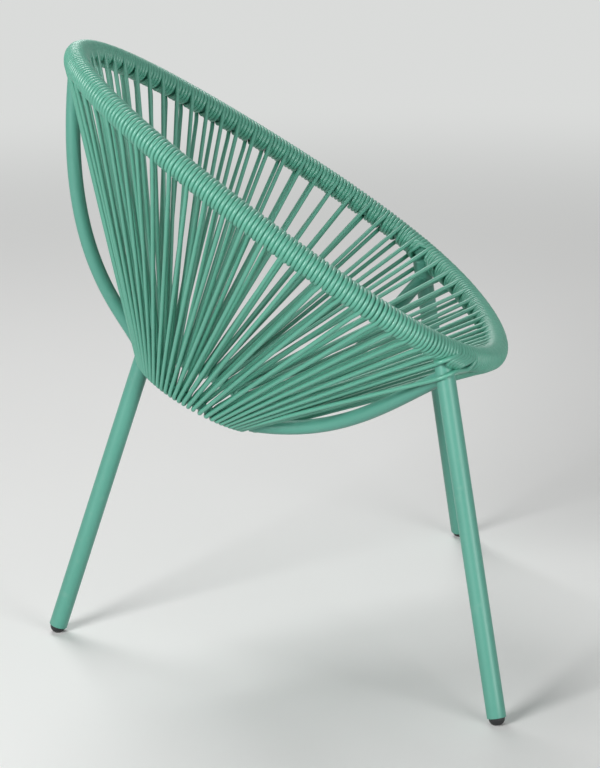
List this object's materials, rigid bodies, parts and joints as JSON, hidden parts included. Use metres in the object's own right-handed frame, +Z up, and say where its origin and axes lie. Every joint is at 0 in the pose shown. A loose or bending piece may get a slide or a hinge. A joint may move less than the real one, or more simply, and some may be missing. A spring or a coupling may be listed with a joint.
{
  "type": "acapulco lounge chair",
  "caption": "Low outdoor lounge chair: tilted egg-shaped steel hoop wound with vinyl cord, strung to a small hub ring to form an open bowl seat, on splayed tube legs with domed plugs.",
  "frame": {"origin": "on the floor, under the middle of the chair", "axes": "+Z up, -Y the way the sitter faces, +X toward the sitter's left"},
  "size_m": [0.7722, 0.6492, 0.8397],
  "materials": {
    "powder_coated_tube": "satin sea-green powder coat on welded steel tube",
    "foot_plug_plastic": "black moulded plug, slightly worn where it stands",
    "vinyl_cord": "smooth glossy round vinyl cord, a little lighter than the frame"
  },
  "bodies": {
    "root": {"rim_tube": "powder_coated_tube", "hub_ring": "powder_coated_tube", "spine": "powder_coated_tube", "strut_left": "powder_coated_tube", "strut_right": "powder_coated_tube", "front_left_leg": "powder_coated_tube", "front_right_leg": "powder_coated_tube", "rear_leg": "powder_coated_tube", "front_left_foot_plug": "foot_plug_plastic", "front_right_foot_plug": "foot_plug_plastic", "rear_foot_plug": "foot_plug_plastic", "cord_panel_01": "vinyl_cord", "cord_panel_02": "vinyl_cord", "cord_panel_03": "vinyl_cord", "cord_panel_04": "vinyl_cord", "cord_panel_05": "vinyl_cord", "cord_panel_06": "vinyl_cord", "cord_panel_07": "vinyl_cord", "cord_panel_08": "vinyl_cord", "cord_panel_09": "vinyl_cord", "cord_panel_10": "vinyl_cord", "cord_panel_11": "vinyl_cord", "cord_panel_12": "vinyl_cord"}
  },
  "joints": []
}
